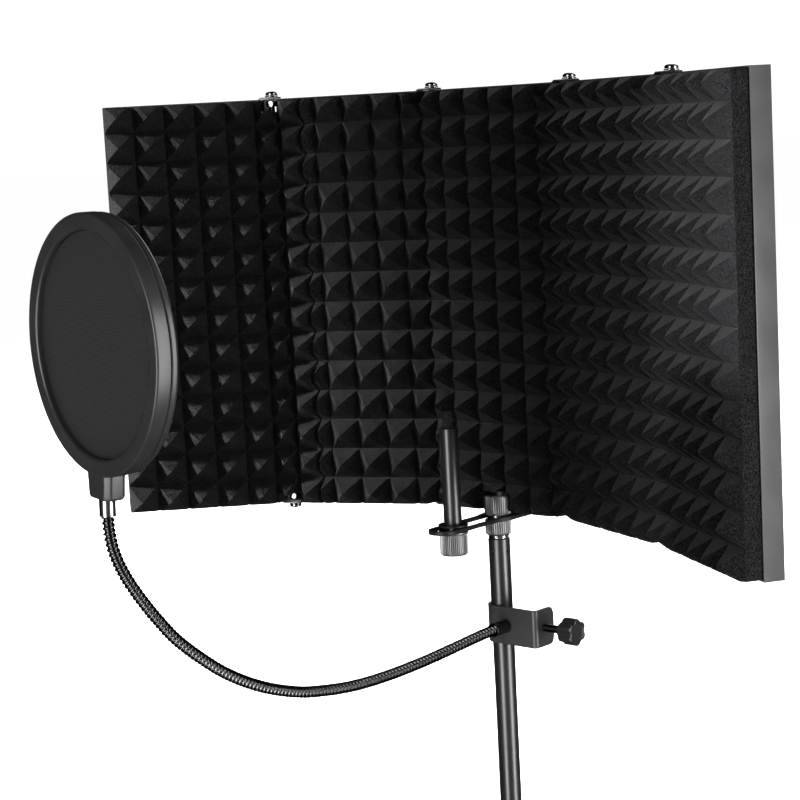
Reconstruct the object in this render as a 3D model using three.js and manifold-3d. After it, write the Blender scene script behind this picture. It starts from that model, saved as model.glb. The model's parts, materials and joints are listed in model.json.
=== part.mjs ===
// Folding microphone isolation shield on its stand tube, with a slotted bracket,
// a microphone post and a clamp-on pop filter.
// Millimetres, +Z up, +X to the right, +Y towards the back of the shield.
// Origin: the stand tube's axis at its lower end.
import * as THREE from 'three';
import { mergeVertices } from 'three/addons/utils/BufferGeometryUtils.js';
import Module from 'manifold-3d';

const wasm = await Module();
wasm.setup();

// ---------------------------------------------------------------- driving dimensions
const GAP = 0.3;                     // between pieces that touch
const DEG = Math.PI / 180;

// shield panels
const PANEL_HEIGHT = 310;
const PANEL_PITCH = 128;             // hinge axis to hinge axis
const SHEET = 1.2;                   // steel thickness
const FLANGE_DEPTH = 14;             // back of the tray to the edge of its flange
const EAR_RADIUS = FLANGE_DEPTH / 2; // the hinge axis is in the middle of the flange
const PANEL_SIDE_GAP = 1;            // back skin to hinge axis
const JOGGLE = SHEET + GAP;          // step that lifts one ear over the next panel's
const JOGGLE_START = 11;             // from the hinge axis
const JOGGLE_RUN = 2;
const JOGGLE_LAG = 0.7;              // the underside bends this much later, so the sheet keeps its thickness
const EAR_CLEARANCE = 0.7;           // round the next panel's ear
const HINGE_ANGLES = { left_inner: 23.3, left_outer: 22.7, right_inner: 21.8, right_outer: 10 };

// foam lining
const FOAM_BASE = 16;
const PYRAMID = 22;                  // height above the base
const VALLEY_STEP = 0.15;            // the level valleys lie this much deeper than the upright ones
const FOAM_COLUMNS = 5;
const FOAM_ROWS = 13;
const FOAM_BORDER = 9;               // flat strip at the shield's right end
const FOAM_MARGIN = 0.4;             // foam to the tray's side flange
const POCKET_RADIUS = 7.5;           // room for the hinge nuts
const POCKET_HEIGHT = 13;
const STAND_NUT_ROOM = 1.5;          // round the stand's upper nut
const FOLD_SLOPE = Math.tan(26 * DEG); // side faces lean back so that the pads can fold

// screws, washers and nuts of the hinges and the bracket
const SCREW_RADIUS = 2.4;
const SCREW_HEAD_RADIUS = 4.6;
const HINGE_SCREW_LENGTH = 14;
const BRACKET_SCREW_LENGTH = 13;
const SCREW_HOLE = 2.8;
const NUT_BORE = 2.7;
const WASHER_RADIUS = 5.2;
const WASHER_HEIGHT = 0.8;
const NUT_ACROSS = 8;
const NUT_HEIGHT = 4;

// stand tube and bracket
const TUBE_LENGTH = 212.5;
const TUBE_RADIUS = 8;
const TUBE_WALL = 1.5;
const SPIGOT_LENGTH = 22;            // the stud's part inside the tube
const SHIELD_LEVEL = 230;            // underside of the panels above the origin
const STAND_TO_HINGES = 23;          // stand axis to the middle panel's hinge line
const BAR = 3;                       // bracket thickness
const BAR_WIDTH = 22;
const BAR_REACH = 61;                // stand axis to the centre of the bar's round tip
const SLOT_RADIUS = 8.1;
const PLATE_WIDTH = 28;
const PLATE_START = -2;              // the bar has widened to the plate here
const BAR_END = -12;                 // and starts to widen here
const LEG_HEIGHT = 50;
const LEG_CORNER = 6;
const NUT_ACCESS_RADIUS = 6;         // hole in the foam round a bracket screw's nut
const BRACKET_SCREW_LEVELS = [16, 36]; // above the underside of the panels
const STUD_RADIUS = 7.8;

// knurled nuts and microphone post
const STAND_NUT_RADIUS = 9.7;
const STAND_NUT_HEIGHTS = { upper: 15, lower: 11.2 };
const POST_REACH = 50.5;
const POST_RADIUS = 6.5;
const POST_HEIGHT = 71;
const POST_STUD_RADIUS = 4.75;       // 3/8 inch thread
const POST_STUD_HEIGHT = 12.5;
const POST_NUT_RADIUS = 10.25;
const POST_NUT_HEIGHT = 15.5;
const COLLAR_RADIUS = 10.75;
const COLLAR_HEIGHT = 1.6;
const POST_TAIL = 15;                // the post's stud below the bar
const POST_NUT_FLOOR = 2;

// pop filter clamp
const CLAMP_LEVEL = 149.5;
const CLAMP_HEIGHT = 28;
const CLAMP_SHEET = 2;
const JAW_RADIUS = TUBE_RADIUS + 0.4;
const JAW_WRAP = 140 * DEG;          // the hook ends here, measured from +X
const CLAMP_REACH = 39;              // tube axis to the outside of the screw flange
const CLAMP_DEPTH = 11;              // how far the screw flange runs behind the tube axis
const CLAMP_BEND = 3.5;
const CLAMP_CORNER = 5;
const CLAMP_SCREW_RADIUS = 3;
const PAD_RADIUS = 5;
const PAD_THICKNESS = 2.5;
const KNOB_GRIP = 8;                 // how far the screw runs into the knob
const KNOB_START = 54.5;
const KNOB_LENGTH = 15;
const KNOB_RADIUS = 11;
const KNOB_LOBES = 6;
const KNOB_WAVE = 0.8;               // half the depth of the hollows between the lobes

// gooseneck and its ferrules
const GOOSE_RADIUS = 4;
const GOOSE_GAP = 2.5;               // between the stiff lengths, at each bend
const GOOSE_STEP = 14;               // longest straight facet along it
const FERRULE_X = 11.6;
const FERRULE_RADIUS = 5.1;
const LOWER_FERRULE = 15;
const UPPER_FERRULE = 10.6;
const SOCKET = 7;
const GOOSE_POINTS = [
  [11.6, -19, 149.5], [11.6, -26, 149.5], [11.6, -44, 148.4], [11.7, -72, 146.2], [11.8, -104, 144],
  [11.9, -142, 142.9], [12, -178, 144.3], [12, -211, 149], [12, -226, 152.3], [12, -257, 163],
  [12.1, -287, 178.4],
  [12.1, -308, 193.2], [12.1, -329, 211], [12.1, -342, 225.6], [12.1, -354.5, 241.5], [12.1, -366, 259.2],
  [12.1, -372.3, 273.4], [12.1, -374.8, 286], [12.2, -375.2, 296], [12.5, -375.2, 302.3],
];
const GOOSE_BENDS = [0.16, 0.48, 0.8];  // along the gooseneck, as shares of its length

// pop filter
const POP_CENTRE = [18.3, -376.4, 398.2];
const POP_TURN = -11.5 * DEG;        // faces a little to one side
const POP_LEAN = 3.5 * DEG;
const POP_RADIUS = 77.5;
const POP_FACE = 10.4;               // width of the ring's face
const POP_THICKNESS = 15;
const POP_SPLIT = 9.8;               // front hoop's share of the thickness
const MESH = 0.6;
const MESH_RECESS = 3.5;             // behind the hoop's faces
const HOOP_STEP = 0.4;               // the rear hoop is this much smaller
const NECK_TAPER = 1.5;
const NECK_OVERLAP = 4;              // into the front hoop
const NECK_WIDTH = 27;
const NECK_HEIGHT = 14;

// ---------------------------------------------------------------- materials
function finish(color, roughness, metalness) {
  return new THREE.MeshStandardMaterial({ color, roughness, metalness });
}

const MATERIALS = {
  panel: finish(0x26272a, 0.5, 0.6),
  foam: finish(0x141415, 0.95, 0),
  zinc: finish(0xb9bcc0, 0.3, 1),
  bracket: finish(0x151617, 0.55, 0.5),
  tube: finish(0x2b2b2c, 0.35, 0.8),
  knurl: finish(0x66676a, 0.35, 0.9),
  clamp: finish(0x232425, 0.5, 0.5),
  knob: finish(0x1a1a1b, 0.45, 0),
  goose: finish(0x2a2a2c, 0.25, 1),
  ferrule: finish(0x55565a, 0.25, 1),
  hoop: finish(0x2d2d2f, 0.45, 0),
  mesh: finish(0x1b1b1c, 0.9, 0),
};

// ---------------------------------------------------------------- geometry helpers
// Welds a geometry, drops its slivers and turns its faces outwards.
function closed(geometry) {
  geometry.deleteAttribute('normal');
  geometry.deleteAttribute('uv');
  const welded = mergeVertices(geometry, 1e-3);
  const at = welded.attributes.position;
  const corners = [new THREE.Vector3(), new THREE.Vector3(), new THREE.Vector3()];
  const kept = [];
  let volume = 0;
  for (let i = 0; i < welded.index.count; i += 3) {
    const ids = [0, 1, 2].map((k) => welded.index.getX(i + k));
    if (new Set(ids).size < 3) continue;
    ids.forEach((id, k) => corners[k].fromBufferAttribute(at, id));
    volume += corners[0].dot(corners[1].clone().cross(corners[2]));
    kept.push(ids);
  }
  const order = volume < 0 ? [0, 2, 1] : [0, 1, 2];
  welded.setIndex(kept.flatMap((ids) => order.map((k) => ids[k])));
  return welded;
}

function toManifold(geometry) {
  const g = closed(geometry);
  return new wasm.Manifold(new wasm.Mesh({
    numProp: 3,
    vertProperties: new Float32Array(g.attributes.position.array),
    triVerts: new Uint32Array(g.index.array),
  }));
}

function fromManifold(solid) {
  const raw = solid.getMesh();
  const g = new THREE.BufferGeometry();
  g.setAttribute('position', new THREE.BufferAttribute(new Float32Array(raw.vertProperties), 3));
  g.setIndex(new THREE.BufferAttribute(new Uint32Array(raw.triVerts), 1));
  return g;
}

const joined = (...parts) => fromManifold(parts.map(toManifold).reduce((a, b) => a.add(b)));
const cut = (base, ...tools) =>
  fromManifold(tools.map(toManifold).reduce((a, b) => a.subtract(b), toManifold(base)));
const common = (...parts) => fromManifold(parts.map(toManifold).reduce((a, b) => a.intersect(b)));

const outline = (points) => new THREE.Shape(points.map(([x, y]) => new THREE.Vector2(x, y)));

// A shape in X and Y, from height z0 to z1.
function slab(shape, z0, z1, curveSegments = 4) {
  const g = new THREE.ExtrudeGeometry(shape, { depth: z1 - z0, bevelEnabled: false, curveSegments });
  return g.translate(0, 0, z0);
}

// A box between two corners.
function block([x0, y0, z0], [x1, y1, z1]) {
  const box = new THREE.BoxGeometry(x1 - x0, y1 - y0, z1 - z0);
  return box.translate((x0 + x1) / 2, (y0 + y1) / 2, (z0 + z1) / 2);
}

// A turned piece about Z, from [radius, z] pairs that start and end on the axis, or that close.
function turned(profile, segments = 24) {
  const points = profile.map(([r, z]) => new THREE.Vector2(r, z));
  return new THREE.LatheGeometry(points, segments).rotateX(Math.PI / 2);
}

const rod = (radius, z0, z1, segments = 24) =>
  turned([[0, z0], [radius, z0], [radius, z1], [0, z1]], segments);
const ring = (inner, outer, z0, z1, segments = 24) =>
  turned([[inner, z0], [outer, z0], [outer, z1], [inner, z1], [inner, z0]], segments);

// Turns a piece's +Z axis to +X, -X, +Y or -Y.
const alongX = (g) => g.rotateY(Math.PI / 2);
const alongY = (g) => g.rotateX(-Math.PI / 2);
const againstY = (g) => g.rotateX(Math.PI / 2);

function piece(parent, name, geometry, material) {
  const mesh = new THREE.Mesh(closed(geometry), MATERIALS[material]);
  mesh.name = name;
  parent.add(mesh);
  return mesh;
}

function groupAt(parent, x, y, z) {
  const g = new THREE.Group();
  g.position.set(x, y, z);
  parent.add(g);
  return g;
}

// ---------------------------------------------------------------- shield panel
// Panel frame: x runs from its left hinge axis to its right one, y to the back, z up.
function flangePlan(leftFree, rightFree) {
  const s = new THREE.Shape();
  s.moveTo(0, -EAR_RADIUS);
  s.lineTo(PANEL_PITCH, -EAR_RADIUS);
  if (rightFree) s.lineTo(PANEL_PITCH, EAR_RADIUS);
  else s.absarc(PANEL_PITCH, 0, EAR_RADIUS, -Math.PI / 2, Math.PI / 2, false);
  s.lineTo(0, EAR_RADIUS);
  if (!leftFree) s.absarc(0, 0, EAR_RADIUS, Math.PI / 2, Math.PI * 1.5, false);
  return s;
}

// Side view of the top flange: level, then lifted over the neighbour's ear.
function flangeProfile(rightFree) {
  const level = PANEL_HEIGHT - SHEET;
  const end = PANEL_PITCH + EAR_RADIUS;
  const near = [-EAR_RADIUS, level];
  const nearTop = [-EAR_RADIUS, PANEL_HEIGHT];
  if (rightFree) return outline([near, [end, level], [end, PANEL_HEIGHT], nearTop]);
  const start = PANEL_PITCH - JOGGLE_START;
  return outline([
    near, [start + JOGGLE_LAG, level], [start + JOGGLE_RUN + JOGGLE_LAG, level + JOGGLE],
    [end, level + JOGGLE], [end, PANEL_HEIGHT + JOGGLE],
    [start + JOGGLE_RUN, PANEL_HEIGHT + JOGGLE], [start, PANEL_HEIGHT], nearTop,
  ]);
}

function topFlange(leftFree, rightFree) {
  const profile = againstY(slab(flangeProfile(rightFree), -EAR_RADIUS, EAR_RADIUS));
  const plan = slab(flangePlan(leftFree, rightFree), 0, PANEL_HEIGHT + 2 * JOGGLE);
  return common(profile, plan);
}

const upsideDown = (g) => g.clone().scale(1, 1, -1).translate(0, 0, PANEL_HEIGHT);

function panelTray(leftFree, rightFree) {
  const left = leftFree ? 0 : PANEL_SIDE_GAP;
  const right = PANEL_PITCH - (rightFree ? 0 : PANEL_SIDE_GAP);
  const back = block([left, EAR_RADIUS - SHEET, 0], [right, EAR_RADIUS, PANEL_HEIGHT]);
  const flange = topFlange(leftFree, rightFree);
  const parts = [back, flange, upsideDown(flange)];
  const sideFlange = (x) => block([x, -EAR_RADIUS, 0], [x + SHEET, EAR_RADIUS, PANEL_HEIGHT]);
  if (leftFree) parts.push(sideFlange(0));
  if (rightFree) parts.push(sideFlange(PANEL_PITCH - SHEET));
  const holes = [];
  if (!leftFree) holes.push(rod(SCREW_HOLE, -5, PANEL_HEIGHT + 5, 12));
  if (!rightFree) {
    holes.push(rod(SCREW_HOLE, -5, PANEL_HEIGHT + 5, 12).translate(PANEL_PITCH, 0, 0));
    for (const z of [-GAP, PANEL_HEIGHT - SHEET - GAP]) {
      const clearance = rod(EAR_RADIUS + EAR_CLEARANCE, z, z + SHEET + 2 * GAP, 16);
      holes.push(clearance.translate(PANEL_PITCH, 0, 0));
    }
  }
  return cut(joined(...parts), ...holes);
}

// ---------------------------------------------------------------- foam pad
// Pyramids are where ridges that run up the pad cross ridges that run along it.
function ridges(from, to, count, base, peak) {
  const step = (to - from) / count;
  const points = [];
  for (let i = 0; i < count; i += 1) {
    points.push([from + i * step, base], [from + (i + 0.5) * step, peak]);
  }
  points.push([to, base]);
  return points;
}

function foamPad(leftFree, rightFree) {
  const back = EAR_RADIUS - SHEET - GAP;
  const valley = back - FOAM_BASE;
  const peak = valley - PYRAMID;
  const lip = SHEET + FOAM_MARGIN;
  const fold = PANEL_SIDE_GAP - valley * FOLD_SLOPE;
  const from = leftFree ? lip : fold + 1;
  const to = PANEL_PITCH - (rightFree ? FOAM_BORDER : fold + 1);
  const plan = [];
  if (leftFree) plan.push([lip, back]);
  else plan.push([PANEL_SIDE_GAP, back], [PANEL_SIDE_GAP, 0], [fold, valley]);
  plan.push(...ridges(from, to, FOAM_COLUMNS, valley, peak));
  if (rightFree) plan.push([PANEL_PITCH - lip, valley], [PANEL_PITCH - lip, back]);
  else {
    const end = PANEL_PITCH - PANEL_SIDE_GAP;
    plan.push([PANEL_PITCH - fold, valley], [end, 0], [end, back]);
  }
  const low = SHEET + GAP;
  const high = PANEL_HEIGHT - low;
  const side = [[low, back], ...ridges(low, high, FOAM_ROWS, valley - VALLEY_STEP, peak), [high, back]];
  const columns = slab(outline(plan), low, high);
  // the side view's x is height, so that it turns to stand up and runs along the panel
  const rows = slab(outline(side), 0, PANEL_PITCH).rotateY(-Math.PI / 2).translate(PANEL_PITCH, 0, 0);
  const pockets = [];
  for (const [free, x] of [[leftFree, 0], [rightFree, PANEL_PITCH]]) {
    if (free) continue;
    for (const z of [0, PANEL_HEIGHT - POCKET_HEIGHT]) {
      pockets.push(rod(POCKET_RADIUS, z, z + POCKET_HEIGHT, 16).translate(x, 0, 0));
    }
  }
  return cut(common(columns, rows), ...pockets);
}

// ---------------------------------------------------------------- fasteners
// A pan-head screw along +Z, its head's underside at z = 0 and its shank below it.
function panScrew(length) {
  const head = 3;
  const rim = 1.4;
  const flat = SCREW_HEAD_RADIUS * 0.7;
  return turned([[0, -length], [SCREW_RADIUS, -length], [SCREW_RADIUS, 0], [SCREW_HEAD_RADIUS, 0],
    [SCREW_HEAD_RADIUS, rim], [flat, head], [0, head]], 12);
}

// A hexagon nut around Z, from z = 0 up.
function hexNut() {
  const corner = NUT_ACROSS / Math.sqrt(3);
  const hexagon = new THREE.CylinderGeometry(corner, corner, NUT_HEIGHT, 6);
  hexagon.rotateX(Math.PI / 2).translate(0, 0, NUT_HEIGHT / 2);
  return cut(hexagon, rod(NUT_BORE, -1, NUT_HEIGHT + 1, 12));
}

function hingeFasteners(at, name) {
  const level = PANEL_HEIGHT + JOGGLE + GAP;
  const washer = ring(SCREW_HOLE, WASHER_RADIUS, level, level + WASHER_HEIGHT, 12);
  const screw = panScrew(HINGE_SCREW_LENGTH).translate(0, 0, level + WASHER_HEIGHT + GAP);
  const nut = hexNut().translate(0, 0, PANEL_HEIGHT - SHEET - GAP - NUT_HEIGHT);
  for (const [end, place] of [['top', (g) => g], ['bottom', upsideDown]]) {
    piece(at, `hinge_screw_${name}_${end}`, place(screw), 'zinc');
    piece(at, `hinge_washer_${name}_${end}`, place(washer), 'zinc');
    piece(at, `hinge_nut_${name}_${end}`, place(nut), 'zinc');
  }
}

// ---------------------------------------------------------------- bracket
function bracket() {
  const half = BAR_WIDTH / 2;
  const wide = PLATE_WIDTH / 2;
  const back = STAND_TO_HINGES + EAR_RADIUS + GAP + BAR;
  const plan = new THREE.Shape();
  plan.moveTo(-half, -BAR_REACH);
  plan.absarc(0, -BAR_REACH, half, Math.PI, Math.PI * 2, false);
  plan.lineTo(half, BAR_END);
  plan.lineTo(wide, PLATE_START);
  plan.lineTo(wide, back);
  plan.lineTo(-wide, back);
  plan.lineTo(-wide, PLATE_START);
  plan.lineTo(-half, BAR_END);
  const slot = new THREE.Path();
  slot.absarc(0, 0, SLOT_RADIUS, 0, Math.PI, false);
  slot.absarc(0, -BAR_REACH, SLOT_RADIUS, Math.PI, Math.PI * 2, false);
  plan.holes.push(slot);
  const top = SHIELD_LEVEL - GAP;
  const cornerX = wide - LEG_CORNER;
  const cornerZ = LEG_HEIGHT - LEG_CORNER;
  const leg = new THREE.Shape();
  leg.moveTo(-wide, -BAR);
  leg.lineTo(wide, -BAR);
  leg.lineTo(wide, cornerZ);
  leg.absarc(cornerX, cornerZ, LEG_CORNER, 0, Math.PI / 2, false);
  leg.absarc(-cornerX, cornerZ, LEG_CORNER, Math.PI / 2, Math.PI, false);
  const upright = againstY(slab(leg, -back, BAR - back)).translate(0, 0, top);
  const drill = alongY(rod(SCREW_HOLE, -10, 10, 12)).translate(0, back, SHIELD_LEVEL);
  const holes = BRACKET_SCREW_LEVELS.map((z) => drill.clone().translate(0, 0, z));
  return cut(joined(slab(plan, top - BAR, top, 6), upright), ...holes);
}

// ---------------------------------------------------------------- stand
// A knurled ring nut around Z with its top face at z = 0.
function ringNut(outer, bore, height) {
  const chamfer = 0.8;
  return turned([[bore, -height], [outer - chamfer, -height], [outer, chamfer - height], [outer, -chamfer],
    [outer - chamfer, 0], [bore, 0], [bore, -height]]);
}

function buildStand(parent) {
  const tube = ring(TUBE_RADIUS - TUBE_WALL, TUBE_RADIUS, 0, TUBE_LENGTH);
  const spigot = TUBE_RADIUS - TUBE_WALL - GAP;
  const shoulder = TUBE_LENGTH + GAP;
  const studTop = SHIELD_LEVEL + STAND_NUT_HEIGHTS.upper - 1.5;
  const foot = shoulder - SPIGOT_LENGTH;
  const chamfer = 0.8;
  const stud = turned([[0, foot], [spigot, foot], [spigot, shoulder], [STUD_RADIUS, shoulder],
    [STUD_RADIUS, studTop - chamfer], [STUD_RADIUS - chamfer, studTop], [0, studTop]]);
  piece(parent, 'stand_tube', tube, 'tube');
  piece(parent, 'stand_stud', stud, 'zinc');
  const upper = ringNut(STAND_NUT_RADIUS, STUD_RADIUS + GAP, STAND_NUT_HEIGHTS.upper);
  const lower = ringNut(STAND_NUT_RADIUS, STUD_RADIUS + GAP, STAND_NUT_HEIGHTS.lower);
  piece(parent, 'stand_nut_upper', upper.translate(0, 0, SHIELD_LEVEL + STAND_NUT_HEIGHTS.upper), 'knurl');
  piece(parent, 'stand_nut_lower', lower.translate(0, 0, SHIELD_LEVEL - BAR - 2 * GAP), 'knurl');
}

// ---------------------------------------------------------------- microphone post
function buildPost(parent) {
  const at = groupAt(parent, 0, -POST_REACH, SHIELD_LEVEL);
  const under = -BAR - 2 * GAP;
  const washer = 1.2;
  const studChamfer = 0.6;
  const nutChamfer = 0.9;
  const nutTop = under - washer - GAP;
  const nutBottom = nutTop - POST_NUT_HEIGHT;
  const studTop = POST_HEIGHT + POST_STUD_HEIGHT;
  const post = turned([[0, -POST_TAIL], [POST_STUD_RADIUS, -POST_TAIL], [POST_STUD_RADIUS, 0],
    [COLLAR_RADIUS, 0], [COLLAR_RADIUS, COLLAR_HEIGHT], [POST_RADIUS, COLLAR_HEIGHT],
    [POST_RADIUS, POST_HEIGHT], [POST_STUD_RADIUS, POST_HEIGHT],
    [POST_STUD_RADIUS, studTop - studChamfer], [POST_STUD_RADIUS - studChamfer, studTop], [0, studTop]], 20);
  const bore = POST_STUD_RADIUS + GAP;
  const floor = nutBottom + POST_NUT_FLOOR;
  const nut = turned([[0, nutBottom], [POST_NUT_RADIUS - nutChamfer, nutBottom],
    [POST_NUT_RADIUS, nutBottom + nutChamfer], [POST_NUT_RADIUS, nutTop], [bore, nutTop],
    [bore, floor], [0, floor]]);
  piece(at, 'mic_post', post, 'tube');
  piece(at, 'mic_post_washer', ring(bore, COLLAR_RADIUS, under - washer, under), 'knurl');
  piece(at, 'mic_post_nut', nut, 'knurl');
}

// ---------------------------------------------------------------- pop filter clamp
// The jaw seen from above: a hook round the tube, a web in front of it and the screw's flange.
function jawPlan() {
  const outer = JAW_RADIUS + CLAMP_SHEET;
  const bendX = CLAMP_REACH - CLAMP_BEND;
  const bendY = CLAMP_BEND - outer;
  const s = new THREE.Shape();
  s.absarc(0, 0, outer, JAW_WRAP, Math.PI * 1.5, false);
  s.absarc(bendX, bendY, CLAMP_BEND, -Math.PI / 2, 0, false);
  s.lineTo(CLAMP_REACH, CLAMP_DEPTH);
  s.lineTo(CLAMP_REACH - CLAMP_SHEET, CLAMP_DEPTH);
  s.absarc(bendX, bendY, CLAMP_BEND - CLAMP_SHEET, 0, -Math.PI / 2, true);
  s.absarc(0, 0, JAW_RADIUS, Math.PI * 1.5, JAW_WRAP, true);
  return s;
}

// Rounds the jaw's two free corners at the back.
function jawSide() {
  const half = CLAMP_HEIGHT / 2;
  const cornerX = CLAMP_DEPTH - CLAMP_CORNER;
  const cornerZ = half - CLAMP_CORNER;
  const s = new THREE.Shape();
  s.moveTo(-2 * JAW_RADIUS, -half);
  s.absarc(cornerX, -cornerZ, CLAMP_CORNER, -Math.PI / 2, 0, false);
  s.absarc(cornerX, cornerZ, CLAMP_CORNER, 0, Math.PI / 2, false);
  s.lineTo(-2 * JAW_RADIUS, half);
  return s;
}

// Rounded lobes with hollows between them.
function knobPlan() {
  const steps = 6 * KNOB_LOBES;
  const points = [];
  for (let i = 0; i < steps; i += 1) {
    const angle = (i / steps) * 2 * Math.PI;
    const radius = KNOB_RADIUS - KNOB_WAVE * (1 - Math.cos(KNOB_LOBES * angle));
    points.push([radius * Math.cos(angle), radius * Math.sin(angle)]);
  }
  return outline(points);
}

function buildClamp(parent) {
  const at = groupAt(parent, 0, 0, CLAMP_LEVEL);
  const half = CLAMP_HEIGHT / 2;
  // the side view's x runs to the back and its y is height
  const side = slab(jawSide(), -2 * JAW_RADIUS, 2 * CLAMP_REACH, 3);
  side.rotateX(Math.PI / 2).rotateZ(Math.PI / 2);
  const bore = CLAMP_SCREW_RADIUS + GAP;
  const hole = alongX(rod(bore, CLAMP_REACH - 5, CLAMP_REACH + 5, 16));
  piece(at, 'clamp_jaw', cut(common(slab(jawPlan(), -half, half, 5), side), hole), 'clamp');

  const padStart = TUBE_RADIUS + GAP;
  const padEnd = padStart + PAD_THICKNESS;
  const screw = rod(CLAMP_SCREW_RADIUS, padEnd + GAP, KNOB_START + KNOB_GRIP, 16);
  piece(at, 'clamp_pad', alongX(rod(PAD_RADIUS, padStart, padEnd, 16)), 'zinc');
  piece(at, 'clamp_screw', alongX(screw), 'zinc');
  const knob = cut(slab(knobPlan(), 0, KNOB_LENGTH), rod(bore, -1, KNOB_GRIP + GAP, 16));
  piece(at, 'clamp_knob', alongX(knob).translate(KNOB_START, 0, 0), 'knob');

  const face = -(JAW_RADIUS + CLAMP_SHEET + GAP);
  piece(at, 'clamp_ferrule', againstY(ferrule(LOWER_FERRULE)).translate(FERRULE_X, face, 0), 'ferrule');
}

// ---------------------------------------------------------------- gooseneck
// A sleeve around Z: closed at z = 0, with a socket for the gooseneck in its far end.
function ferrule(length) {
  const bore = GOOSE_RADIUS + GAP;
  const chamfer = 0.5;
  return turned([[0, 0], [FERRULE_RADIUS, 0], [FERRULE_RADIUS, length - chamfer],
    [FERRULE_RADIUS - chamfer, length], [bore, length], [bore, length - SOCKET], [0, length - SOCKET]], 16);
}

// The stiff lengths between the bends, each a tube of its own.
function buildGooseneck(parent) {
  const through = (points) => new THREE.CatmullRomCurve3(points, false, 'centripetal');
  const route = through(GOOSE_POINTS.map((p) => new THREE.Vector3(...p)));
  const length = route.getLength();
  const half = GOOSE_GAP / 2 / length;
  const ends = [0, ...GOOSE_BENDS.flatMap((share) => [share - half, share + half]), 1];
  const section = new THREE.Shape().absarc(0, 0, GOOSE_RADIUS, 0, 2 * Math.PI, false);
  for (let i = 0; i < ends.length / 2; i += 1) {
    const [from, to] = ends.slice(2 * i, 2 * i + 2);
    const steps = Math.ceil(((to - from) * length) / GOOSE_STEP);
    const points = [];
    for (let k = 0; k <= steps; k += 1) points.push(route.getPointAt(from + ((to - from) * k) / steps));
    const extrudePath = through(points);
    const tube = new THREE.ExtrudeGeometry(section, { extrudePath, steps, curveSegments: 4 });
    piece(parent, `gooseneck_${i + 1}`, tube, 'goose');
  }
}

// ---------------------------------------------------------------- pop filter
// Its frame: x across, y through the hoop with the front at -y, z up.
function buildPopFilter(parent) {
  const at = groupAt(parent, ...POP_CENTRE);
  at.rotation.set(0, POP_LEAN, POP_TURN, 'ZYX');
  const inner = POP_RADIUS - POP_FACE;
  const front = -POP_THICKNESS / 2;
  const split = front + POP_SPLIT;
  const rear = POP_THICKNESS / 2;
  const frontHoop = alongY(turned([[inner, front + 1], [inner + 1, front], [POP_RADIUS - 1, front],
    [POP_RADIUS, front + 1], [POP_RADIUS, split], [inner, split], [inner, front + 1]], 40));
  const rearRadius = POP_RADIUS - HOOP_STEP;
  const rearHoop = alongY(turned([[inner, split + GAP], [rearRadius, split + GAP], [rearRadius, rear - 1],
    [rearRadius - 1, rear], [inner + 1, rear], [inner, rear - 1], [inner, split + GAP]], 40));
  const neckTop = NECK_OVERLAP - POP_RADIUS;
  const neckBottom = -POP_RADIUS - NECK_HEIGHT;
  const half = NECK_WIDTH / 2;
  const narrow = half - NECK_TAPER;
  const neckShape = outline([[-half, neckTop], [-narrow, neckBottom], [narrow, neckBottom], [half, neckTop]]);
  const seat = alongY(rod(POP_RADIUS + GAP, split, rear + 1, 40));
  const neck = cut(againstY(slab(neckShape, front, rear)), seat);
  piece(at, 'pop_hoop_front', joined(frontHoop, neck), 'hoop');
  piece(at, 'pop_hoop_rear', rearHoop, 'hoop');
  const disc = (y) => alongY(rod(inner - 2 * GAP, y, y + MESH));
  piece(at, 'pop_mesh_front', disc(front + MESH_RECESS), 'mesh');
  piece(at, 'pop_mesh_rear', disc(rear - MESH_RECESS - MESH), 'mesh');
  const sleeve = ferrule(UPPER_FERRULE).rotateX(Math.PI);
  piece(at, 'pop_ferrule', sleeve.translate(0, 0, neckBottom - GAP), 'ferrule');
}

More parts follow.
